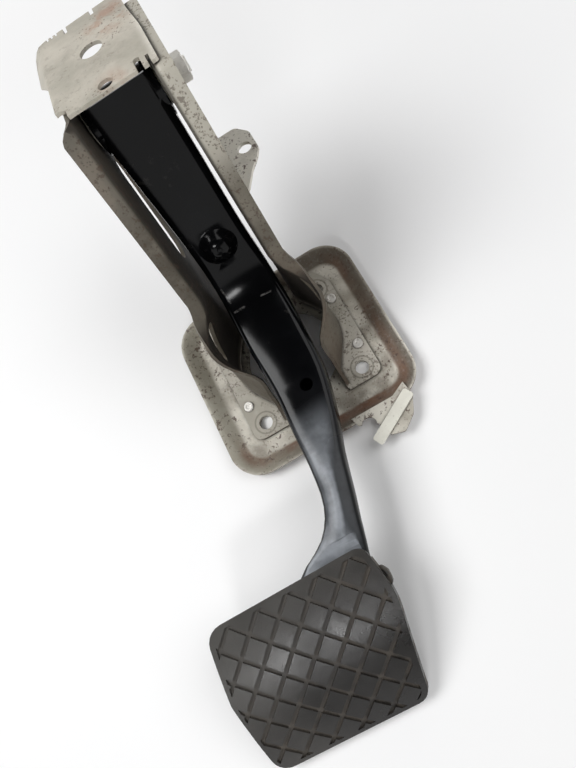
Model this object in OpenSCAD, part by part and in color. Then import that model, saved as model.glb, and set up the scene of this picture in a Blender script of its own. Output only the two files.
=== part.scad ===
// Brake pedal with its mounting bracket, an assembly of pressed sheet steel.
// Millimetres. The base plate's back face is z = 0 and the push rod's hole is centred on the origin.
// x runs across, y runs up the bulkhead to the pivot, z points towards the driver.

/* [View] */
// Node to draw

/* [Base plate] */
// Stud spacing across
stud_dx = 74; // [70:1:84]
// Stud spacing along
stud_dy = 65.2; // [58:0.2:72]
// Stud hole radius
stud_r = 4.7; // [3:0.1:6]
// Push rod hole radius
rod_r = 31.5; // [24:0.5:33]
// Half width over the rim
base_hx = 68; // [62:1:78]
// Lower edge
base_y0 = -65; // [-75:1:-60]
// Upper edge
base_y1 = 59.5; // [56:0.5:75]
// Rim height above the floor
rim_h = 7; // [3:0.5:12]
// Rim width
rim_w = 14; // [8:0.5:14]
// Sheet thickness
base_t = 2; // [1:0.1:3]

/* [Cheeks] */
// Outer face of the wall from the middle
wall_x = 24; // [23:0.5:26]
// Sheet thickness
cheek_t = 2.2; // [1.2:0.1:2.8]
// Front flange width past its bend
lip_w = 6; // [3:0.5:8]
// Knee where the straight strut starts
knee_y = 20.5; // [10:0.5:30]
// Height of the knee
knee_z = 92; // [84:1:100]
// Angle of the strut to the base
strut_deg = 60; // [56:1:64]

/* [Top plate] */
// Sheet thickness
top_t = 1.8; // [1.2:0.1:3]
// Slope to the base
top_deg = 14.6; // [10:0.2:18]
// Small hole's distance up from the push rod hole
top_y = 85.2; // [82:0.2:90]
// Height of the upper face there
top_z = 183.3; // [181:0.1:190]
// Large hole radius
top_hole_r = 6.4; // [3:0.1:8]
// Small hole radius
top_small_r = 4; // [2:0.1:5]

/* [Pivot] */
// Distance up from the push rod hole
pivot_y = 102; // [100:0.5:104]
// Drop below the top plate's under face
pivot_drop = 23; // [22:0.1:26]
// Bolt radius
bolt_r = 4; // [3:0.1:4.2]
// Sleeve radius
sleeve_r = 6.5; // [6:0.1:7]
// Hub tube radius
hub_r = 12; // [11:0.1:13]

/* [Arm and pad] */
// Sheet thickness of the arm
arm_t = 2.5; // [1.5:0.1:3]
// Pad slope to the base
pad_deg = 24.8; // [24:0.1:26]
// Pad's upper edge below the push rod hole
pad_drop = 134; // [128:0.5:145]
// Pad's length down its slope
pad_len = 95.5; // [85:0.5:105]
// Radius of the pad's crown
crown_r = 230; // [180:5:400]
// Groove between the pad's blocks
groove = 2.6; // [1:0.1:4]
// Block pitch along the long way of a block
pitch_a = 14.9; // [12:0.1:17]
// Block pitch across it
pitch_b = 12.7; // [11:0.1:15]

/* [Hidden] */
$fn = 48;

gap = 0.05;
olive = [0.36, 0.34, 0.27];
zinc = [0.6, 0.6, 0.58];
black = [0.07, 0.07, 0.08];

// Small helpers.
function unit(v) = v / norm(v);
function mix(a, b, t) = a + (b - a) * t;
function ease(t) = let (c = min(max(t, 0), 1)) c * c * (3 - 2 * c);

// Smooth curve through the points p at parameter s, counted in points.
function at(p, s) = let (
    n = len(p) - 1,
    i = min(floor(s), n - 1),
    t = s - i,
    b = p[i],
    c = p[i + 1],
    a = i > 0 ? p[i - 1] : 2 * b - c,
    d = i + 2 <= n ? p[i + 2] : 2 * c - b
) 0.5 * (2 * b + (c - a) * t + (2 * a - 5 * b + 4 * c - d) * t * t + (3 * b - a - 3 * c + d) * t * t * t);

// Outline with rounded corners from corner points [x, y, radius].
function rounded(p, m = 5) = [for (i = [0:len(p) - 1]) each p[i][2] < 0.1 ? [[p[i][0], p[i][1]]] : let (
    a = p[(i + len(p) - 1) % len(p)],
    b = p[i],
    c = p[(i + 1) % len(p)],
    q = [b[0], b[1]],
    u = unit([a[0], a[1]] - q),
    v = unit([c[0], c[1]] - q),
    h = acos(u * v) / 2,
    o = q + unit(u + v) * b[2] / sin(h),
    s = q + u * b[2] / tan(h) - o,
    w = sign(u[1] * v[0] - u[0] * v[1]) * (180 - 2 * h)
) [for (k = [0:m]) let (g = w * k / m)
    o + [s[0] * cos(g) - s[1] * sin(g), s[0] * sin(g) + s[1] * cos(g)]]];

// Closed sheet between two grids of points that have the same rows and columns.
module skin(f, g) {
    r = len(f) - 1;
    c = len(f[0]) - 1;
    m = c + 1;
    k = (r + 1) * m;
    polyhedron(
        points = [each [for (a = f) each a], each [for (a = g) each a]],
        faces = [
            for (i = [0:r - 1], j = [0:c - 1]) each [
                [i * m + j, i * m + j + 1, (i + 1) * m + j + 1],
                [i * m + j, (i + 1) * m + j + 1, (i + 1) * m + j],
                [k + i * m + j, k + (i + 1) * m + j + 1, k + i * m + j + 1],
                [k + i * m + j, k + (i + 1) * m + j, k + (i + 1) * m + j + 1]
            ],
            for (i = [0:r - 1]) each [
                [i * m, (i + 1) * m, k + (i + 1) * m],
                [i * m, k + (i + 1) * m, k + i * m],
                [i * m + c, k + i * m + c, k + (i + 1) * m + c],
                [i * m + c, k + (i + 1) * m + c, (i + 1) * m + c]
            ],
            for (j = [0:c - 1]) each [
                [j, k + j, k + j + 1],
                [j, k + j + 1, j + 1],
                [r * m + j, r * m + j + 1, k + r * m + j + 1],
                [r * m + j, k + r * m + j + 1, k + r * m + j]
            ]
        ]
    );
}

// Round bar or hole along x.
module bar(x0, x1, y, z, r) {
    translate([x0, y, z]) rotate([0, 90, 0]) cylinder(r = r, h = x1 - x0);
}

// Top plate: height of a level under its upper face, and its tilted frame.
function under_top(y, t) = top_z - tan(top_deg) * (y - top_y) - t / cos(top_deg);

pivot_z = under_top(pivot_y, top_t) - pivot_drop;

module on_top() {
    translate([0, top_y, top_z]) rotate([-top_deg, 0, 0]) children();
}

// Base plate.
rim_n = 8;
function rim_z(s) = rim_h * ease(s);
rim_r = rim_w + 8;
cx = base_hx - rim_r;
cy0 = base_y0 + rim_r;
cy1 = base_y1 - rim_r;
rim_up = [for (i = [0:rim_n]) [8 + rim_w * i / rim_n, base_t + rim_z(i / rim_n)]];
rim_lo = [for (i = [rim_n:-1:0]) [8 + rim_w * i / rim_n, rim_z(i / rim_n)]];

module rim_side(len) {
    rotate([90, 0, 90]) linear_extrude(len) polygon([each rim_up, each rim_lo]);
}

module rim_corner(x, y, a) {
    translate([x, y, 0]) rotate([0, 0, a]) rotate_extrude(angle = 90)
        polygon([[0, 0], [0, base_t], each rim_up, each rim_lo]);
}

module stud_holes(z0, z1) {
    for (x = [-1, 1], y = [-1, 1])
        translate([x * stud_dx / 2, y * stud_dy / 2, z0]) cylinder(r = stud_r, h = z1 - z0);
}

rivet_x = 42.6;
rivet_y = [-17, 21];
rivet_r = 2.5;
foot_z = base_t + cheek_t;

module rivet_holes() {
    for (x = [-1, 1], y = rivet_y)
        translate([x * rivet_x, y, -1]) cylinder(r = rivet_r + gap, h = foot_z + 2);
}

// Tab at the lower right corner, level with the rim's lip.
tab = [[14, base_y0 + 4, 0], [16, base_y0 - 2, 2], [28, base_y0 - 7, 0.5], [31, base_y0 - 17, 2],
    [40, base_y0 - 19.5, 2], [50, base_y0 - 12, 6], [55.5, base_y0 - 1, 3], [54, base_y0 + 9, 0],
    [44, base_y0 + 4, 0]];

module base_plate() {
    difference() {
        union() {
            translate([-cx - 8, cy0, 0]) cube([2 * cx + 16, cy1 - cy0, base_t]);
            translate([-cx, cy0 - 8, 0]) cube([2 * cx, cy1 - cy0 + 16, base_t]);
            translate([-cx, cy1, 0]) rim_side(2 * cx);
            translate([cx, cy0, 0]) rotate([0, 0, 180]) rim_side(2 * cx);
            translate([cx, cy1, 0]) rotate([0, 0, -90]) rim_side(cy1 - cy0);
            translate([-cx, cy0, 0]) rotate([0, 0, 90]) rim_side(cy1 - cy0);
            rim_corner(cx, cy1, 0);
            rim_corner(-cx, cy1, 90);
            rim_corner(-cx, cy0, 180);
            rim_corner(cx, cy0, 270);
            translate([0, 0, rim_h]) linear_extrude(base_t) difference() {
                polygon(rounded(tab));
                translate([22.5, base_y0 - 5]) circle(r = 5);
            }
        }
        translate([0, 0, -1]) cylinder(r = rod_r, h = base_t + 2, $fn = 96);
        stud_holes(-1, base_t + 1);
        rivet_holes();
    }
}

// Cheeks. The wall is flat above the knee, and below it bulges round the push rod's hole.
wall_z = base_t + 0.7;
knee = [knee_y, knee_z];
strut = [cos(strut_deg), sin(strut_deg)];
corner_y = (under_top(0, top_t) - knee_z + knee_y * tan(strut_deg)) / (tan(strut_deg) + tan(top_deg)) + 2.5;
corner = [corner_y, under_top(corner_y, top_t)];
back_top = [top_y + 70, under_top(top_y + 70, top_t)];
back_foot = [47, wall_z];
foot_tip = [-42, wall_z];
flare = [knee + 14 * strut, knee, [13.5, 79], [4, 69], [-4, 58], [-13, 46], [-22, 30], [-32, 12], foot_tip];
bend_r = 3.2;
wall_n = 11;

// Free edge from the back of the top, round the corner and down to the foot.
turn = rounded([[back_top[0], back_top[1], 0], [corner[0], corner[1], 9], [knee[0], knee[1], 0]], 5);
edge = [
    for (t = [0.15, 0.45, 0.75]) mix(back_top, turn[1], t),
    for (i = [1:6]) turn[i],
    for (t = [0.3, 0.6]) mix(turn[6], knee, t),
    for (s = [1:0.36:8]) at(flare, s),
    foot_tip
];
edge_n = len(edge) - 1;
turn_z = turn[6][1];

// Share of the back edge that a row reaches, counted from its top.
function reach(i) = let (z = edge[i][1])
    i < 9 ? 0.04 + 0.02 * i : z > knee_z ? mix(0.2, 0.5, (turn_z - z) / (turn_z - knee_z))
    : mix(0.5, 1, (knee_z - z) / (knee_z - wall_z));

// Bulge round the hole, and the pinch where the leg is narrowest.
bulge_x = rod_r + 7 - wall_x;
function bulge(y, z) = bulge_x * pow(max(0, 1 - pow((y - 4) / 32, 2)), 1.5) * ease((92 - z) / 32);
function pinch(y, z) = 8 * exp(-(pow(y + 18, 2) + pow(z - 38, 2)) / 242);
function wall_in(y, z) = wall_x - cheek_t + bulge(y, z) - pinch(y, z);

// The flange is bent square along the strut and dies out down the flare, where it widens at two places.
// top_bend is its angle along the top plate.
function lip_deg(i, top_bend) = i < 9 ? mix(top_bend, 90, ease((i - 4) / 4))
    : mix(14, 90, ease((edge[i][1] - 60) / 28));
function swell(z, mid, wide) = exp(-pow((z - mid) / wide, 2));
function lip_len(i, top_bend) = let (z = edge[i][1])
    i < 9 ? mix(mix(bend_r - 0.4, lip_w, top_bend / 90), lip_w, ease((i - 4) / 4))
    : mix(0.4, lip_w, ease((z - 62) / 26)) + 1.5 * swell(z, 80, 7) + 2.2 * swell(z, 6, 9);

// One row of the cheek: side a = 0 is the channel side, a = 1 the other face.
function cheek_row(i, a, top_bend) = let (
    p = edge[i],
    f = unit(edge[min(i + 1, edge_n)] - edge[max(i - 1, 0)]),
    n = unit(mix([1, 0], [-f[1], f[0]], ease((p[1] - wall_z) / 16))),
    e = p + n * bend_r,
    q = mix(back_top, back_foot, reach(i)),
    x0 = wall_in(e[0], e[1]),
    r = bend_r - a * cheek_t,
    b = lip_deg(i, top_bend),
    w = lip_len(i, top_bend),
    s = [
        [x0 + bend_r - r * cos(b) + w * sin(b), bend_r - r * sin(b) - w * cos(b)],
        for (g = [1, 0.66, 0.33, 0]) [x0 + bend_r - r * cos(b * g), bend_r - r * sin(b * g)]
    ]
) [
    for (v = s) [v[0], p[0] + n[0] * v[1], p[1] + n[1] * v[1]],
    for (k = [1:wall_n]) let (
        c = mix(e, q, k / wall_n),
        h = unit(q - e),
        m = k < wall_n ? wall_in(c[0] + h[0], c[1] + h[1]) - wall_in(c[0], c[1]) : 0,
        d = a * cheek_t / sqrt(1 + m * m)
    ) [wall_in(c[0], c[1]) + d, c[0] - h[0] * d * m, c[1] - h[1] * d * m]
];

foot_out = rounded([for (y = [-42:4:46]) [wall_in(y, base_t) + cheek_t / 2, y, 0], [41, 46, 4], [48, 33, 5],
    [48, -42, 6]]);

module foot() {
    translate([0, 0, base_t]) linear_extrude(cheek_t) polygon(foot_out);
}

// Round-ended hole through a cheek between the points p and q, [y, z].
module long_hole(p, q, r) {
    for (c = [p, q]) bar(wall_x - 8, wall_x + 26, c[0], c[1], r);
    translate([wall_x - 8, 0, 0]) rotate([90, 0, 90]) linear_extrude(34)
        translate((p + q) / 2) rotate(atan2(q[1] - p[1], q[0] - p[0]))
            square([norm(q - p), 2 * r], center = true);
}

module cheek(top_bend) {
    rows = [for (a = [0, 1]) [for (i = [0:edge_n]) cheek_row(i, a, top_bend)]];
    difference() {
        union() {
            skin(rows[1], rows[0]);
            foot();
        }
        stud_holes(-1, foot_z + 1);
        rivet_holes();
        bar(wall_x - 8, wall_x + 8, pivot_y, pivot_z, bolt_r + 0.2);
        long_hole([8, 38], [20, 60], 3);
    }
}

module right_cheek() {
    cheek(90);
}

module left_cheek() {
    mirror([1, 0, 0]) difference() {
        cheek(3);
        long_hole([68, 85], [94, 124], 10.5);
    }
}

module rivet(x, y) {
    translate([x, y, 0]) cylinder(r = rivet_r, h = foot_z + 0.2);
    translate([x, y, foot_z]) rotate_extrude()
        polygon([[0, 0], [3.4, 0], [3.4, 0.8], [2.9, 1.4], [2, 1.4], [1.4, 0.8], [0, 0.8]]);
}

// Top plate, drawn in its own tilted frame from the small hole: v runs up the slope.
// Its left margin curls down, and it laps over the right cheek's flange.
top_v0 = -5.6;
top_v1 = 74;
margin = wall_x + 1.2;
hole_v = 36;
top_edge = wall_x + 2.4;
top_up = [[-margin - 9, -8.5], [-margin - 5, -3.4], [-margin - 2.2, -1], [-margin, 0], [top_edge, 0]];
top_lo = [[top_edge, -top_t], [-margin + 0.3, -top_t], [-margin - 3, -3.2], [-margin - 6.4, -6],
    [-margin - 9, -8.5]];
top_out = [[-21.5, top_v0, 0.5], [-21.5, 0, 1.5], [-27.5, 4, 1.5], [-27.2, 30, 8], [-34, 50, 8], [-32, 69, 7],
    [-21, top_v1, 4], [24, top_v1, 2], [24.5, 52, 30], [26.2, 30, 30], [26.2, top_v0, 1]];

module top_plate() {
    on_top() difference() {
        intersection() {
            translate([0, top_v1 + 5, 0]) rotate([90, 0, 0]) linear_extrude(top_v1 - top_v0 + 10)
                polygon([each top_up, each top_lo]);
            translate([0, 0, -20]) linear_extrude(40) polygon(rounded(top_out));
        }
        translate([0, hole_v, -5]) cylinder(r = top_hole_r, h = 10);
        translate([0, 0, -5]) cylinder(r = top_small_r, h = 10);
        translate([-9.8, top_v1 - 6.5, -5]) cube([2, 20, 10]);
        translate([6.5, top_v1 - 5.5, -5]) cube([2.2, 20, 10]);
        for (x = [-20, -17.4, -14.8]) translate([x, top_v1 - 2.4, -5]) cube([1.2, 10, 10]);
        translate([15.4, top_v0 - 1, -5]) cube([3.4, 9, 10]);
        translate([17.1, top_v0 + 8, -5]) cylinder(r = 1.7, h = 10);
        translate([21.4, top_v0 - 1, -5]) cube([1.6, 8, 10]);
    }
}

// Ear on the outside of the right cheek.
ear_deg = 10;
ear_y = 85;
ear_z = 101.4;
ear_x = 41.4;
ear_out = [[wall_x, -24, 0], [31, -31, 2], [38.4, -18.7, 4], [45, -11, 3], [48.4, -5, 4], [48.4, 10, 6],
    [42, 19, 4], [wall_x, 19, 0]];

module ear_bracket() {
    translate([0, ear_y, ear_z]) rotate([-ear_deg, 0, 0]) difference() {
        union() {
            translate([0, 0, -cheek_t]) linear_extrude(cheek_t) polygon(rounded(ear_out));
            translate([wall_x, -20, -14]) cube([cheek_t, 34, 13]);
            translate([wall_x, 19 - cheek_t, -7]) cube([14, cheek_t, 6]);
        }
        translate([ear_x, 0, -5]) cylinder(r = 4.3, h = 10);
    }
}

// Clip pushed over the tab's edge.
module edge_clip() {
    translate([54.5, base_y0 + 1.5, rim_h]) rotate([0, 0, 209.5]) {
        translate([0, 0, base_t]) linear_extrude(1.6)
            polygon(rounded([[0, -3.7, 1.5], [38, -3.7, 1.5], [38, 3.7, 1.5], [0, 3.7, 1.5]]));
    }
}

// Pivot. A spacer stands the nut clear of the cheek's flange.
washer_t = 1.6;
spacer_t = 5.4;
head_h = 5.3;
nut_h = 6.5;

module pivot_bolt() {
    bar(-wall_x - washer_t, wall_x + spacer_t + nut_h + 1, pivot_y, pivot_z, bolt_r);
    translate([-wall_x - washer_t - head_h, pivot_y, pivot_z]) rotate([0, 90, 0])
        cylinder(d = 13 / cos(30), h = head_h, $fn = 6);
}

module pivot_nut() {
    difference() {
        intersection() {
            translate([wall_x + spacer_t, pivot_y, pivot_z]) rotate([0, 90, 0]) rotate([0, 0, 12])
                cylinder(d = 13 / cos(30), h = nut_h, $fn = 6);
            translate([wall_x + spacer_t, pivot_y, pivot_z]) rotate([0, 90, 0]) rotate_extrude()
                polygon([[0, 0], [8, 0], [8, nut_h - 1], [6.3, nut_h], [0, nut_h]]);
        }
        bar(wall_x, wall_x + 20, pivot_y, pivot_z, bolt_r + 0.02);
    }
}

module washer(x, t) {
    difference() {
        bar(x, x + t, pivot_y, pivot_z, 8);
        bar(x - 1, x + t + 1, pivot_y, pivot_z, bolt_r + 0.2);
    }
}

module pivot_sleeve() {
    x = wall_x - cheek_t;
    difference() {
        bar(-x, x, pivot_y, pivot_z, sleeve_r);
        bar(-x - 1, x + 1, pivot_y, pivot_z, bolt_r + 0.2);
    }
}

// Foot plate and pad share one crown about x, drawn in the pad's own slope from its upper edge.
lip_t = 2.4;
plate_t = 1.8;
back_t = 3.8;
plate_w = lip_t + plate_t;
crown_sag = crown_r - sqrt(pow(crown_r, 2) - pow(pad_len / 2, 2));
pad_foot = 0.03;
pad_end = asin(pad_len / 2 / crown_r);
pad_z = pad_len * sin(pad_deg) + (plate_w + back_t) * cos(pad_deg) / cos(pad_end) + pad_foot;

module on_pad() {
    translate([0, -pad_drop, pad_z]) rotate([pad_deg, 0, 0]) children();
}

// Layer of the crown from w0 to w1 above its face, cut square to the bulkhead by an outline [x, v].
module crown(w0, w1) {
    intersection() {
        on_pad() translate([0, -pad_len / 2, crown_sag - crown_r]) difference() {
            bar(-140, 10, 0, 0, crown_r + w1, $fn = 240);
            bar(-150, 20, 0, 0, crown_r + w0, $fn = 240);
        }
        translate([0, -pad_drop, pad_foot]) linear_extrude(70) scale([1, cos(pad_deg)]) children();
    }
}

// Arm. Control points of its front face down the middle: [y, z, left x, right x, side depth].
// It bends at arm_bend, and its foot runs under the foot plate.
arm_bend = [18, 55];
arm_low = 49;
function up(v, w) = [mix(arm_bend[0], pivot_y, v), mix(arm_bend[1], pivot_z, w)];
function down(v, w) = [-pad_drop * v, mix(arm_low, pad_z - 2.9, w)];
arm = [
    [each up(0.887, 1.177), -19.4, 19.4, 26],
    [each up(0.619, 0.755), -17.6, 18.8, 24],
    [each up(0.357, 0.333), -16.4, 18.2, 19],
    [each up(0.19, 0.111), -17, 19, 18],
    [each arm_bend, -18.2, 19.2, 18],
    [each down(0.037, 0), -18.3, 18.2, 18],
    [each down(0.239, 0.41), -17, 16.8, 17],
    [each down(0.448, 0.68), -18.6, 10.2, 15],
    [each down(0.612, 0.77), -19.2, 2.8, 13.5],
    [each down(0.784, 0.86), -22.6, -3.2, 12],
    [each down(0.903, 1), -33, -7.5, 9.5],
    [-pad_drop, pad_z - plate_w, -53, -10.6, 7],
    [-pad_drop - 15, pad_z - plate_w - 4.2, -56, -15, 6]
];
arm_n = 36;
arm_r = 4;

// The neck's face is crowned, the rest is flat across.
function arm_crown(s) = 1.7 * ease((s - 6.5) / 2.5) * ease((11.6 - s) / 1.5);
function arm_row(i, a) = let (
    s = i / arm_n * (len(arm) - 1),
    p = at(arm, s),
    f = at(arm, min(s + 0.05, len(arm) - 1)) - at(arm, max(s - 0.05, 0)),
    e = unit([f[0], f[1]]),
    n = [-e[1], e[0]],
    w = arm_t * a,
    r = arm_r - w,
    l = [
        [p[2] + w, p[4]],
        [p[2] + w, mix(arm_r, p[4], 0.5)],
        for (g = [0:30:90]) [p[2] + arm_r - r * cos(g), arm_r - r * sin(g)],
        for (u = [0.25, 0.5, 0.75]) [mix(p[2] + arm_r, p[3] - arm_r, u), w - 4 * u * (1 - u) * arm_crown(s)],
        for (g = [90:-30:0]) [p[3] - arm_r + r * cos(g), arm_r - r * sin(g)],
        [p[3] - w, mix(arm_r, p[4], 0.5)],
        [p[3] - w, p[4]]
    ]
) [for (v = l) [v[0], p[0] + n[0] * v[1], p[1] + n[1] * v[1]]];

// Frame of the dome over the push rod's ball, with z out of the front face.
dome_r = 11.6;
dome_run = arm[3] - arm[1];
module on_dome() {
    translate([0, arm[2][0], arm[2][1]]) rotate([atan2(-dome_run[1], -dome_run[0]), 0, 0]) children();
}

module arm_shell() {
    difference() {
        union() {
            skin([for (i = [0:arm_n]) arm_row(i, 0)], [for (i = [0:arm_n]) arm_row(i, 1)]);
            for (x = [-19.8, 16.6]) bar(x, x + 3.2, pivot_y, pivot_z, 16.5);
        }
        bar(-21, 21, pivot_y, pivot_z, hub_r + 0.02);
        on_dome() translate([0, 0, -8]) cylinder(r = dome_r - 2.2, h = 16);
        translate([2.7, -38, 30]) cylinder(r = 4, h = 40);
        crown(-plate_w - 0.02, 6) translate([-80, -60]) square([90, 70]);
    }
    on_dome() rotate_extrude() polygon([
        [0, 6.8], [1.2, 6.6], [1.6, 6], [3.6, 5.6], [5.6, 4.8], [7.4, 3.5], [9, 1.9], [10.2, 0.7], [dome_r, 0],
        [dome_r, -2], [dome_r - 2.4, -2], [dome_r - 2.7, -0.2], [7, 1.8], [4.6, 3.2], [0, 4]
    ]);
}

// Sheet that closes the arm's back between its side walls.
function back_row(s, a) = let (
    p = at(arm, s),
    f = at(arm, s + 0.05) - at(arm, s - 0.05),
    e = unit([f[0], f[1]]),
    d = p[4] - 1.5 - 2 * (1 - a)
) [for (x = [p[2] + arm_t + gap, p[3] - arm_t - gap]) [x, p[0] - e[1] * d, p[1] + e[0] * d]];

module arm_back() {
    s = [for (i = [0:20]) 3.3 + i * 0.33];
    skin([for (t = s) back_row(t, 0)], [for (t = s) back_row(t, 1)]);
}

module hub_tube() {
    difference() {
        bar(-20.3, 20.3, pivot_y, pivot_z, hub_r);
        bar(-22, 22, pivot_y, pivot_z, hub_r - 2.4);
    }
}

module bush(s) {
    difference() {
        union() {
            bar(min(s * 20.3, s * 8), max(s * 20.3, s * 8), pivot_y, pivot_z, hub_r - 2.42);
            bar(min(s * 20.3, s * 21.3), max(s * 20.3, s * 21.3), pivot_y, pivot_z, hub_r - 0.4);
        }
        bar(-23, 23, pivot_y, pivot_z, sleeve_r + 0.06);
    }
}

module ball_socket() {
    on_dome() rotate_extrude() polygon([[6, -9], [9, -9], [9, -2.6], [8, -1.4], [7.3, -1.4],
        for (g = [0:15:60]) [7.2 * cos(g), -3 - 7.2 * sin(g)]]);
}

// Outlines of the pad, its grooved field and the plate inside it, [x, v, radius].
pad_out = [[-114, -1, 12], [-13, 1, 7], [-8.5, -30, 60], [-23.5, -pad_len, 9], [-120.5, -pad_len, 9],
    [-122, -46, 20]];
pad_in = [[-111, -4, 10], [-16, -2.5, 6], [-12, -30, 57], [-26.8, 2.2 - pad_len, 7], [-118.5, 2.2 - pad_len, 7],
    [-119.8, -46, 18]];
plate_out = [[-111, -4, 8], [-16.5, -3, 4], [-12.5, -30, 58], [-26.5, 4 - pad_len, 7], [-117, 4 - pad_len, 7],
    [-118.5, -46, 18]];
plate_in = [[-106, -9, 5], [-56, -9, 0], [-56, 9, 0], [-8, 9, 0], [-14, -17, 0], [-17, -30, 54],
    [-30, 9 - pad_len, 5], [-112.5, 9 - pad_len, 5], [-114, -46, 15]];
pad_bump = [[-16, -13, 0], [-9.4, -14, 2], [-7.2, -18, 3], [-7.6, -25, 3], [-14, -32, 0]];
block_deg = 42.5;
block_mid = [-23.6, -10.3];

module foot_plate() {
    crown(-plate_w, -lip_t) polygon(rounded(plate_out));
}

module pad_rubber() {
    difference() {
        union() {
            crown(-plate_w - back_t, 0) polygon(rounded(pad_out));
            crown(-plate_w - back_t, -lip_t) polygon(rounded(pad_bump));
        }
        crown(-plate_w, -lip_t) polygon(rounded(plate_out));
        crown(-plate_w - back_t - 1, -plate_w + 0.5) polygon(rounded(plate_in));
        intersection() {
            crown(-1.4, 3) polygon(rounded(pad_in));
            on_pad() translate([block_mid[0], block_mid[1], -10]) rotate(block_deg) linear_extrude(40) {
                for (i = [-9:4]) translate([(i + 0.5) * pitch_a, 0]) square([groove, 260], center = true);
                for (i = [-8:8]) translate([0, (i + 0.5) * pitch_b]) square([260, groove], center = true);
            }
        }
    }
}

color(zinc) base_plate();
color(olive) left_cheek();
color(olive) right_cheek();
color(zinc) top_plate();
color(zinc) ear_bracket();
color([0.8, 0.77, 0.66]) edge_clip();
color(zinc) rivet(-rivet_x, rivet_y[1]);  // rivet_lu
color(zinc) rivet(-rivet_x, rivet_y[0]);  // rivet_ll
color(zinc) rivet(rivet_x, rivet_y[1]);  // rivet_ru
color(zinc) rivet(rivet_x, rivet_y[0]);  // rivet_rl
color(zinc) pivot_bolt();
color(zinc) pivot_nut();
color(zinc) washer(wall_x, spacer_t);  // nut_spacer
color(zinc) washer(-wall_x - washer_t, washer_t);  // head_washer
color(zinc) pivot_sleeve();
color(black) arm_shell();
color(black) arm_back();
color(black) hub_tube();
color([0.75, 0.72, 0.62]) bush(-1);  // left_bush
color([0.75, 0.72, 0.62]) bush(1);  // right_bush
color(zinc) ball_socket();
color(black) foot_plate();
color([0.09, 0.09, 0.1]) pad_rubber();
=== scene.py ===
"""Looks of the brake pedal: materials, light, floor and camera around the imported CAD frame."""
import math
import bpy
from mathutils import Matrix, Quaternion, Vector

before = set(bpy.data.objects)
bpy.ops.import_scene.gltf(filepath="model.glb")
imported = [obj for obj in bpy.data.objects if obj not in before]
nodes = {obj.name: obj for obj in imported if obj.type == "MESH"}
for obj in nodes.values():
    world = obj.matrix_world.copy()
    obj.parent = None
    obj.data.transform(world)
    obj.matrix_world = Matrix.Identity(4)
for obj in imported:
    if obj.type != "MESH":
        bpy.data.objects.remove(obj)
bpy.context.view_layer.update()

# The stud holes' distances from the push rod's hole; in metres, like all up to SCRATCHES.
STUD_X, STUD_Y = 0.037, 0.0326
# The pad's place and slope, and in that place's frame the crown's axis, which runs along x.
PAD_AT, PAD_TILT = (0, -0.134, 0.0475), math.radians(24.8)
CROWN_R, CROWN_AXIS = 0.23, (0, -0.04775, -0.225)
# The grid of the pad's blocks. Dust begins at a groove's edge and is full over its bed.
BLOCK_MID, BLOCK_TURN = (-0.0236, -0.0103, 0), math.radians(42.5)
PITCH_A, PITCH_B = 0.0149, 0.0127
GROOVE_EDGE, GROOVE_BED = 0.0019, 0.0014
# Bare strokes in the arm's paint: both ends and the width, in millimetres.
SCRATCHES = [
    ((-13.4, 34.7, 66.7), (-12.9, 27.4, 60.2), 0.8),
    ((-13.6, 22, 57), (-7.1, 22, 57), 1.0),
    ((5.5, 22.5, 57.2), (11.9, 22, 56.9), 0.8),
]
# Edges below the first angle are shaded smooth. Those above the second are rounded on the pieces
# listed, by this many millimetres.
SMOOTH_BELOW, BEVEL_ABOVE = 32, 40
BEVELS = {"pad_rubber": 0.55, "edge_clip": 0.3, "ear_bracket": 0.25}
# The floor's own glow, and the distances from the middle at which it begins and is full.
FLOOR_GLOW, FLOOR_NEAR, FLOOR_FAR = 0.96, 0.16, 0.6
# The room's strength below and above a band of heights, on the unit sphere of directions.
ROOM_LOW, ROOM_HIGH = 0.3, 0.385
ROOM_PALE, ROOM_DIM = 0.97, 0.05
# The photo's focal length and longer side in pixels, and the sensor's width in millimetres.
FOCAL, LONG_SIDE, SENSOR = 582.5, 768, 36


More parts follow.
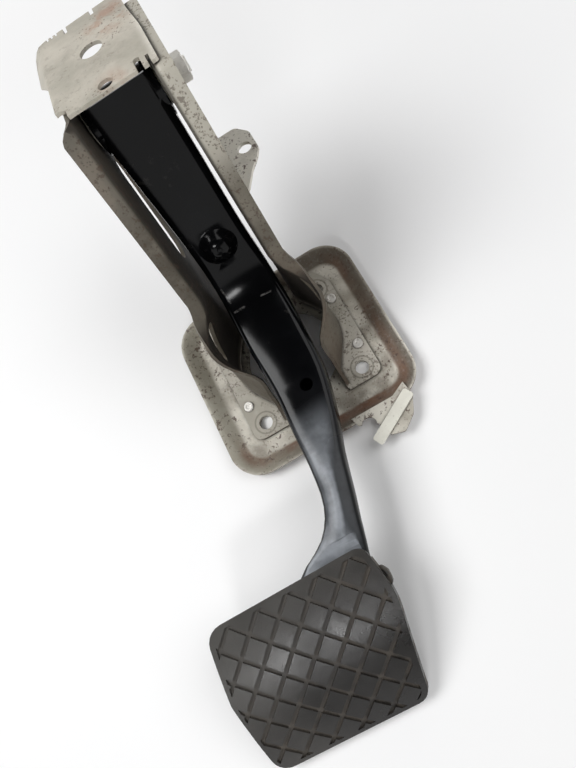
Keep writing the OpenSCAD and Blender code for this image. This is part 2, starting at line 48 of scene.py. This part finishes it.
class Mat:
    """A node material with short helpers. Positions are at rest in the row frame, in metres."""

    def __init__(self, name, metal=0.0):
        self.mat = bpy.data.materials.new(name)
        self.mat.use_nodes = True
        self.tree = self.mat.node_tree
        self.shader = self.tree.nodes["Principled BSDF"]
        self.set("Metallic", metal)
        self.pos = self.new("ShaderNodeTexCoord").outputs["Object"]

    def new(self, kind, **attrs):
        n = self.tree.nodes.new(kind)
        for k, v in attrs.items():
            setattr(n, k, v)
        return n

    def link(self, src, dst):
        """Link one socket to another, or give it a number, a vector or a colour."""
        if hasattr(src, "is_output"):
            self.tree.links.new(src, dst)
        elif isinstance(src, tuple) and len(src) == 3 and dst.type == "RGBA":
            dst.default_value = (*src, 1)
        else:
            dst.default_value = src

    def set(self, socket, value):
        self.link(value, self.shader.inputs[socket])

    def math(self, op, a, b=0.0, *more):
        """The operation on a and b, then on its result and each further value."""
        n = self.new("ShaderNodeMath", operation=op)
        self.link(a, n.inputs[0])
        self.link(b, n.inputs[1])
        return self.math(op, n.outputs[0], *more) if more else n.outputs[0]

    def times(self, *values):
        return self.math("MULTIPLY", *values)

    def most(self, *values):
        return self.math("MAXIMUM", *values)

    def vector(self, op, a, b=(0, 0, 0)):
        """Vector maths. An operation that measures gives a number."""
        n = self.new("ShaderNodeVectorMath", operation=op)
        self.link(a, n.inputs[0])
        self.link(b, n.inputs[1])
        return n.outputs["Value" if op in ("DISTANCE", "DOT_PRODUCT", "LENGTH") else "Vector"]

    def range(self, value, a, b, lo=0.0, hi=1.0, curve="SMOOTHSTEP"):
        """Value's way from a to b, spread from lo to hi and held there at both ends."""
        n = self.new("ShaderNodeMapRange", interpolation_type=curve)
        self.link(value, n.inputs["Value"])
        for key, v in (("From Min", a), ("From Max", b), ("To Min", lo), ("To Max", hi)):
            n.inputs[key].default_value = v
        return n.outputs["Result"]

    def mix(self, fac, a, b):
        """Colour a, changed to b by the factor."""
        n = self.new("ShaderNodeMix", data_type="RGBA")
        self.link(fac, n.inputs["Factor"])
        ends = [s for s in n.inputs if s.type == "RGBA"]
        self.link(a, ends[0])
        self.link(b, ends[1])
        return n.outputs[2]

    def split(self, vector):
        """The x, y and z of a vector."""
        n = self.new("ShaderNodeSeparateXYZ")
        self.link(vector, n.inputs[0])
        return tuple(n.outputs)

    def normal(self):
        """The surface's direction in the scene, which turns with a pose."""
        return self.new("ShaderNodeNewGeometry").outputs["Normal"]

    def place(self, at, origin, turn):
        """Position in a frame at an origin, turned by Euler angles."""
        n = self.new("ShaderNodeMapping", vector_type="TEXTURE")
        self.link(at, n.inputs["Vector"])
        n.inputs["Location"].default_value = origin
        n.inputs["Rotation"].default_value = turn
        return n.outputs["Vector"]

    def noise(self, scale, detail=3.0, rough=0.55):
        n = self.new("ShaderNodeTexNoise")
        self.link(self.pos, n.inputs["Vector"])
        n.inputs["Scale"].default_value = scale
        n.inputs["Detail"].default_value = detail
        n.inputs["Roughness"].default_value = rough
        return n.outputs["Fac"]

    def ragged(self, scale):
        """Distance in cells with uneven sides, so that pits don't come out round."""
        n = self.new("ShaderNodeTexVoronoi")
        self.link(self.pos, n.inputs["Vector"])
        n.inputs["Scale"].default_value = scale
        uneven = self.times(self.noise(2 * scale, 3, 0.7), 0.6)
        return self.math("ADD", n.outputs["Distance"], uneven)

    def freckles(self, *sizes):
        """1 in rough spots. A size is a noise's scale and its levels at a spot's edge and core."""
        return self.most(*(self.range(self.noise(s, 4, 0.7), a, b) for s, a, b in sizes))

    def groove(self, value, pitch):
        """1 along lines half a pitch off the middle, repeated at the pitch."""
        off = self.math("SUBTRACT", self.math("FRACT", self.math("DIVIDE", value, pitch)), 0.5)
        return self.range(self.math("ABSOLUTE", off), GROOVE_EDGE / pitch, GROOVE_BED / pitch)

    def stroke(self, a, b, width):
        """1 inside a thin stroke from point a to b, in millimetres."""
        run = tuple((q - p) / 1000 for p, q in zip(a, b))
        off = self.vector("SUBTRACT", self.pos, tuple(v / 1000 for v in a))
        dot = self.vector("DOT_PRODUCT", off, run)
        share = self.range(dot, 0, sum(v * v for v in run), curve="LINEAR")
        aside = self.vector("DISTANCE", off, self.vector("MULTIPLY", run, share))
        return self.range(aside, width / 1000, width / 2500)

    def spot(self, centre, radius):
        """1 within a third of the radius round a point and 0 past the radius, in millimetres."""
        off = self.vector("DISTANCE", self.pos, tuple(v / 1000 for v in centre))
        return self.range(off, radius / 1000, radius / 3000)

    def square_off(self, value, centre):
        """Square of the distance of |value| from a centre."""
        d = self.math("SUBTRACT", self.math("ABSOLUTE", value), centre)
        return self.times(d, d)

    def corner_shade(self, reach):
        """1 in inside corners and close beside what stands on the surface: a mask for painted
        shade and dirt.
        """
        n = self.new("ShaderNodeAmbientOcclusion", samples=8)
        n.inputs["Distance"].default_value = reach
        return self.range(n.outputs["AO"], 0.95, 0.5)

    def bump(self, height, strength, distance):
        n = self.new("ShaderNodeBump")
        n.inputs["Strength"].default_value = strength
        n.inputs["Distance"].default_value = distance
        self.link(height, n.inputs["Height"])
        self.set("Normal", n.outputs["Normal"])


def dress(mat, *names):
    for n in names:
        nodes[n].data.materials.clear()
        nodes[n].data.materials.append(mat.mat)


def plated():
    m = Mat("plated_sheet", metal=0.15)
    cloud = m.noise(38, 4)
    fine = m.noise(420, 3)
    x, y, z = m.split(m.pos)
    on_base = m.range(z, 0.02, 0.01)
    ear_painted_light = m.times(m.range(x, 0.022, 0.028), m.range(z, 0.02, 0.06, 0.0, 0.75))
    col = m.mix(m.range(cloud, 0.33, 0.68), (0.355, 0.33, 0.27), (0.52, 0.485, 0.415))
    low = m.mix(m.range(cloud, 0.36, 0.64), (0.36, 0.33, 0.275), (0.70, 0.67, 0.59))
    col = m.mix(m.times(on_base, 0.85), col, low)
    # Painted light: the ear is lighter, against the shadow the bracket casts on it.
    col = m.mix(ear_painted_light, col, (0.78, 0.75, 0.67))
    # Grime in soft smudges, most on the base; on the top plate's left margin, painted shade.
    margin_shade = m.times(m.range(x, -0.018, -0.029), m.range(z, 0.14, 0.16))
    smudge = m.range(m.noise(52, 5, 0.65), 0.48, 0.66)
    grime_and_margin_shade = m.times(smudge, m.range(m.most(on_base, margin_shade), 0, 1, 0.2, 0.55))
    col = m.mix(grime_and_margin_shade, col, (0.15, 0.125, 0.095))
    # Olive film on the rim's slope, rusted towards its foot at the lower right.
    # The film is painted pale at the left and dark at the right, as painted light and shade.
    slope = m.times(m.range(z, 0.0021, 0.0034), m.range(z, 0.00905, 0.0086))
    film_and_shade = m.mix(m.range(x, -0.06, 0.0), (0.30, 0.28, 0.225), (0.105, 0.086, 0.064))
    col = m.mix(m.times(slope, m.range(m.noise(17, 3), 0.3, 0.6, 0.65, 0.95)), col, film_and_shade)
    foot = m.times(m.range(z, 0.0021, 0.0030), m.range(z, 0.0088, 0.0045))
    side = m.most(m.range(y, -0.02, -0.055), m.times(m.range(x, 0.045, 0.062), 0.6))
    rust = m.times(foot, side, m.range(m.noise(40, 4), 0.34, 0.62, 0.2, 0.95))
    col = m.mix(rust, col, (0.19, 0.10, 0.062))
    # Rust blush on the top plate.
    blush = m.most(m.spot((14, 138, 169), 20), m.times(m.spot((4, 84, 182), 13), 0.6))
    blush = m.times(blush, m.range(m.noise(70, 5, 0.7), 0.42, 0.6))
    col = m.mix(m.times(blush, 0.6), col, (0.36, 0.19, 0.12))
    # Pits in patches, and dark freckles, which are faint on the top plate.
    patch = m.range(m.noise(24, 2), 0.42, 0.58)
    pits = m.times(m.range(m.ragged(430), 0.57, 0.42), patch)
    col = m.mix(m.times(pits, 0.7), col, (0.10, 0.065, 0.045))
    where = m.times(m.range(m.noise(33, 2), 0.40, 0.55), m.range(z, 0.13, 0.16, 1.0, 0.25))
    spots = m.times(m.freckles((300, 0.56, 0.63), (150, 0.61, 0.66)), where)
    col = m.mix(m.times(spots, 0.85), col, (0.085, 0.05, 0.036))
    col = m.mix(m.range(fine, 0.5, 0.8, 0.0, 0.15), col, (0.62, 0.61, 0.58))
    # Painted shade, with some grime, in inside corners and beside raised parts.
    col = m.mix(m.times(m.corner_shade(0.003), 0.6), col, (0.05, 0.04, 0.03))
    m.set("Base Color", col)
    m.set("Roughness", m.range(cloud, 0.3, 0.7, 0.38, 0.6))
    m.bump(m.math("SUBTRACT", fine, m.math("ADD", pits, spots)), 0.3, 0.0004)
    return m


def primed():
    m = Mat("primed_sheet", metal=0.1)
    m.set("Specular IOR Level", 0.3)
    cloud = m.noise(26, 4)
    fine = m.noise(520, 3)
    x, y, z = m.split(m.pos)
    olive = m.mix(m.range(cloud, 0.35, 0.66), (0.095, 0.084, 0.064), (0.19, 0.172, 0.138))
    olive = m.mix(m.range(m.noise(13, 3), 0.46, 0.62, 0, 0.6), olive, (0.12, 0.078, 0.052))
    # The left cheek is the dirtier one. Both are paler at the top, the right one much more.
    smudge = m.range(m.noise(45, 5, 0.65), 0.38, 0.62, 0.45, 0.95)
    dirt = m.times(m.range(x, 0.01, -0.02, 0.62, 1.0), smudge)
    olive = m.mix(dirt, olive, (0.066, 0.056, 0.042))
    pale = m.times(m.range(z, 0.125, 0.155), m.range(x, -0.01, 0.02, 0.15, 0.8))
    olive = m.mix(pale, olive, (0.48, 0.455, 0.39))
    # The foot's flange keeps the plating's grey, with a washer's ring round each stud hole.
    grey = m.mix(m.range(cloud, 0.35, 0.66), (0.32, 0.30, 0.25), (0.50, 0.47, 0.41))
    off = m.math("SQRT", m.math("ADD", m.square_off(x, STUD_X), m.square_off(y, STUD_Y)))
    ring = m.times(m.range(off, 0.0066, 0.0072), m.range(off, 0.0083, 0.0077))
    grey = m.mix(m.times(ring, 0.55), grey, (0.13, 0.115, 0.09))
    col = m.mix(m.range(z, 0.0046, 0.0056), grey, olive)
    # The channel's inside is painted dark: painted shade with some grime, most of all low down.
    outward = m.times(m.split(m.normal())[0], m.math("SIGN", x))
    channel_shade_and_grime = m.times(m.range(outward, -0.25, -0.75), m.range(z, 0.16, 0.10, 0.75, 0.95),
                    m.range(z, 0.0046, 0.012))
    col = m.mix(channel_shade_and_grime, col, (0.020, 0.0165, 0.013))
    # Pits and dark freckles in patches.
    patch = m.range(m.noise(30, 2), 0.36, 0.52)
    pits = m.times(m.range(m.ragged(460), 0.60, 0.42), patch)
    col = m.mix(m.times(pits, 0.6), col, (0.055, 0.04, 0.028))
    spots = m.freckles((330, 0.55, 0.62), (150, 0.62, 0.68))
    spots = m.times(spots, m.range(m.noise(28, 2), 0.38, 0.52))
    col = m.mix(m.times(spots, 0.62), col, (0.065, 0.042, 0.029))
    # Painted shade, with some grime, in inside corners and beside raised parts.
    col = m.mix(m.times(m.corner_shade(0.003), 0.85), col, (0.04, 0.032, 0.025))
    m.set("Base Color", col)
    rough = m.range(cloud, 0.3, 0.7, 0.38, 0.56)
    m.set("Roughness", m.math("ADD", rough, m.times(channel_shade_and_grime, 0.3)))
    m.bump(m.math("SUBTRACT", fine, m.math("ADD", pits, spots)), 0.25, 0.0003)
    return m


def black():
    m = Mat("black_paint")
    m.set("Specular IOR Level", 0.18)
    cloud = m.noise(30, 3)
    fine = m.noise(700, 2)
    col = m.mix(m.range(cloud, 0.35, 0.7), (0.0015, 0.0016, 0.002), (0.004, 0.0042, 0.005))
    # The neck's upper side: shoe wear and a painted sheen, bluish grey, less where it turns aside.
    neck = m.range(m.split(m.pos)[1], -0.045, -0.085)
    across, _, up = m.split(m.normal())
    wear_and_sheen = m.times(neck, m.range(up, 0.66, 0.96), m.range(m.noise(60, 4), 0.3, 0.6, 0.55, 1.0),
                   m.range(across, 0.24, 0.03, 0.15, 1.0), m.range(across, -0.42, -0.16, 0.5, 1.0))
    col = m.mix(wear_and_sheen, col, (0.26, 0.277, 0.3))
    # Specks of dust in patches, and the bare strokes.
    patch = m.range(m.noise(22, 2), 0.42, 0.6)
    dust = m.times(m.range(m.noise(160, 4), 0.6, 0.74, 0.0, 0.25), patch)
    col = m.mix(dust, col, (0.06, 0.056, 0.05))
    bare = m.most(*(m.stroke(*s) for s in SCRATCHES))
    bare = m.times(bare, m.range(m.noise(900, 3), 0.4, 0.6, 0.1, 0.8))
    col = m.mix(bare, col, (0.13, 0.125, 0.12))
    m.set("Base Color", col)
    rough = m.range(cloud, 0.3, 0.72, 0.12, 0.17)
    m.set("Roughness", m.math("ADD", rough, m.times(neck, 0.15)))
    m.bump(m.math("ADD", fine, m.times(m.noise(55, 2), 1.5)), 0.035, 0.0003)
    return m


def steel():
    m = Mat("bolt_steel", metal=0.25)
    cloud = m.noise(90, 3)
    col = m.mix(m.range(cloud, 0.35, 0.68), (0.60, 0.58, 0.54), (0.86, 0.84, 0.79))
    col = m.mix(m.range(m.noise(400, 2), 0.56, 0.7, 0, 0.5), col, (0.17, 0.12, 0.085))
    m.set("Base Color", col)
    m.set("Roughness", m.range(cloud, 0.3, 0.7, 0.3, 0.5))
    m.bump(m.noise(900, 2), 0.12, 0.0002)
    return m


def plastic(name, a, b):
    m = Mat(name)
    cloud = m.noise(70, 3)
    col = m.mix(m.range(cloud, 0.35, 0.68), a, b)
    col = m.mix(m.range(m.noise(300, 3), 0.6, 0.75, 0, 0.4), col, (0.3, 0.27, 0.2))
    m.set("Base Color", col)
    m.set("Roughness", m.range(cloud, 0.3, 0.7, 0.42, 0.6))
    m.bump(m.noise(500, 2), 0.1, 0.0002)
    return m


def rubber():
    m = Mat("pad_rubber")
    m.set("Specular IOR Level", 0.42)
    cloud = m.noise(34, 4)
    fine = m.noise(900, 2)
    col = m.mix(m.range(cloud, 0.35, 0.7), (0.028, 0.0258, 0.0235), (0.048, 0.0447, 0.0405))
    col = m.mix(m.range(m.noise(240, 4), 0.50, 0.74, 0, 0.35), col, (0.05, 0.044, 0.037))
    # Dust in the grooves, from 0.15 to 0.6 mm below the crown.
    pad = m.place(m.pos, PAD_AT, (PAD_TILT, 0, 0))
    along, across, _ = m.split(m.place(pad, BLOCK_MID, (0, 0, BLOCK_TURN)))
    line = m.most(m.groove(along, PITCH_A), m.groove(across, PITCH_B))
    height = m.vector("DISTANCE", m.vector("MULTIPLY", pad, (0, 1, 1)), CROWN_AXIS)
    deep = m.range(height, CROWN_R - 0.00015, CROWN_R - 0.0006)
    dust = m.times(line, deep, m.range(m.noise(120, 3), 0.3, 0.62, 0.45, 1.0))
    col = m.mix(dust, col, (0.078, 0.067, 0.055))
    # Dusty at the upper left; worn smooth at the lower right, and painted dark there as shade.
    col = m.mix(m.times(m.spot((-95, -140, 45), 80), 0.6), col, (0.066, 0.063, 0.058))
    worn = m.spot((-45, -193, 22), 75)
    wear_and_shade = m.times(worn, m.range(dust, 0.0, 1.0, 0.85, 0.2))
    col = m.mix(wear_and_shade, col, (0.0075, 0.0065, 0.006))
    m.set("Base Color", col)
    rough = m.math("ADD", m.range(cloud, 0.3, 0.7, 0.32, 0.46), m.times(dust, 0.4))
    m.set("Roughness", m.math("SUBTRACT", rough, m.times(worn, 0.08)))
    m.bump(fine, 0.2, 0.0003)
    return m


dress(plated(), "base_plate", "top_plate", "ear_bracket")
dress(primed(), "left_cheek", "right_cheek")
dress(black(), "arm_shell", "arm_back", "hub_tube", "foot_plate")
dress(steel(), "rivet_lu", "rivet_ll", "rivet_ru", "rivet_rl", "pivot_bolt", "pivot_nut",
      "nut_spacer", "head_washer", "pivot_sleeve", "ball_socket")
dress(plastic("bush_plastic", (0.5, 0.47, 0.38), (0.62, 0.59, 0.5)), "left_bush", "right_bush")
dress(plastic("cream_clip", (0.66, 0.645, 0.57), (0.78, 0.765, 0.68)), "edge_clip")
dress(rubber(), "pad_rubber")


def soften_group(degrees):
    """Modifier that welds the facets of a pressed sheet and shades them smooth below an angle."""
    g = bpy.data.node_groups.new("soften", "GeometryNodeTree")
    for way in ("INPUT", "OUTPUT"):
        g.interface.new_socket("Geometry", in_out=way, socket_type="NodeSocketGeometry")
    enter, leave = g.nodes.new("NodeGroupInput"), g.nodes.new("NodeGroupOutput")
    weld = g.nodes.new("GeometryNodeMergeByDistance")
    weld.inputs["Distance"].default_value = 2e-6
    bare = g.nodes.new("GeometryNodeRemoveAttribute")
    bare.inputs["Name"].default_value = "custom_normal"
    smooth = g.nodes.new("GeometryNodeSetShadeSmooth")
    crease = g.nodes.new("GeometryNodeSetShadeSmooth")
    crease.domain = "EDGE"
    crease.inputs["Shade Smooth"].default_value = False
    angle = g.nodes.new("GeometryNodeInputMeshEdgeAngle")
    over = g.nodes.new("FunctionNodeCompare")
    over.operation = "GREATER_THAN"
    over.inputs["B"].default_value = math.radians(degrees)
    g.links.new(angle.outputs["Unsigned Angle"], over.inputs["A"])
    g.links.new(over.outputs["Result"], crease.inputs["Selection"])
    chain = [enter, weld, bare, smooth, crease, leave]
    for a, b in zip(chain, chain[1:]):
        g.links.new(a.outputs["Geometry"], b.inputs["Geometry"])
    return g


soften = soften_group(SMOOTH_BELOW)
for node in nodes.values():
    node.modifiers.new("soften", "NODES").node_group = soften
for name, width in BEVELS.items():
    mod = nodes[name].modifiers.new("edge", "BEVEL")
    mod.width = width / 1000
    mod.segments = 2
    mod.limit_method = "ANGLE"
    mod.angle_limit = math.radians(BEVEL_ABOVE)


def floor_paint():
    m = Mat("floor")
    m.set("Roughness", 0.6)
    col = m.mix(m.range(m.noise(3, 2), 0.3, 0.7), (0.90, 0.90, 0.905), (0.93, 0.93, 0.93))
    m.set("Base Color", col)
    # Far from the object the floor is seen as pale as it is near the lamps, and lights nothing.
    rays = m.new("ShaderNodeLightPath").outputs
    seen = m.most(rays["Is Camera Ray"], rays["Is Glossy Ray"], rays["Is Transmission Ray"])
    glow = m.new("ShaderNodeEmission")
    m.link((FLOOR_GLOW, FLOOR_GLOW, FLOOR_GLOW), glow.inputs["Color"])
    blend = m.new("ShaderNodeMixShader")
    far = m.range(m.vector("LENGTH", m.pos), FLOOR_NEAR, FLOOR_FAR)
    m.link(m.times(seen, far), blend.inputs[0])
    m.link(m.shader.outputs[0], blend.inputs[1])
    m.link(glow.outputs[0], blend.inputs[2])
    m.link(blend.outputs[0], m.tree.nodes["Material Output"].inputs["Surface"])
    return m


bpy.ops.mesh.primitive_plane_add(size=8, location=(0, 0, -0.0005))
floor = bpy.context.object
floor.name = "floor"
floor.data.materials.append(floor_paint().mat)


def area(name, where, size, power, target=(0, 0, 0.05)):
    """A rectangular lamp that faces its target."""
    d = bpy.data.lights.new(name, "AREA")
    d.shape = "RECTANGLE"
    d.size, d.size_y = size
    d.energy = power
    o = bpy.data.objects.new(name, d)
    bpy.context.scene.collection.objects.link(o)
    o.location = where
    o.rotation_mode = "QUATERNION"
    o.rotation_quaternion = (Vector(target) - Vector(where)).to_track_quat("-Z", "Y")


area("key", (-0.66, 0.21, 1.08), (0.64, 0.64), 11.2)
area("fill", (0.72, -0.05, 1.0), (0.9, 0.9), 5.8)
area("window", (-0.40, -1.02, 0.88), (0.3, 0.14), 3.3, (-0.05, -0.17, 0.035))

# A room that is pale low down and dim overhead.
world = bpy.data.worlds.new("studio")
bpy.context.scene.world = world
world.use_nodes = True
wt = world.node_tree
room = wt.nodes["Background"]
way = wt.nodes.new("ShaderNodeTexCoord")
split = wt.nodes.new("ShaderNodeSeparateXYZ")
ramp = wt.nodes.new("ShaderNodeMapRange")
ramp.interpolation_type = "SMOOTHSTEP"
ramp.inputs["From Min"].default_value = ROOM_LOW
ramp.inputs["From Max"].default_value = ROOM_HIGH
ramp.inputs["To Min"].default_value = ROOM_PALE
ramp.inputs["To Max"].default_value = ROOM_DIM
wt.links.new(way.outputs["Generated"], split.inputs[0])
wt.links.new(split.outputs["Z"], ramp.inputs["Value"])
wt.links.new(ramp.outputs["Result"], room.inputs["Strength"])
room.inputs["Color"].default_value = (1, 1, 1, 1)

# The photo's camera, worked out from the bracket's lines.
cam = bpy.data.cameras.new("camera")
cam.sensor_fit = "AUTO"
cam.sensor_width = SENSOR
cam.lens = FOCAL * SENSOR / LONG_SIDE
cam.clip_start, cam.clip_end = 0.01, 20
shot = bpy.data.objects.new("camera", cam)
bpy.context.scene.collection.objects.link(shot)
shot.location = (0.03037, -0.14845, 0.37316)
shot.rotation_mode = "QUATERNION"
shot.rotation_quaternion = Quaternion((0.952057, 0.150473, 0.095285, -0.248730))
bpy.context.scene.camera = shot
bpy.context.scene.view_settings.view_transform = "Standard"
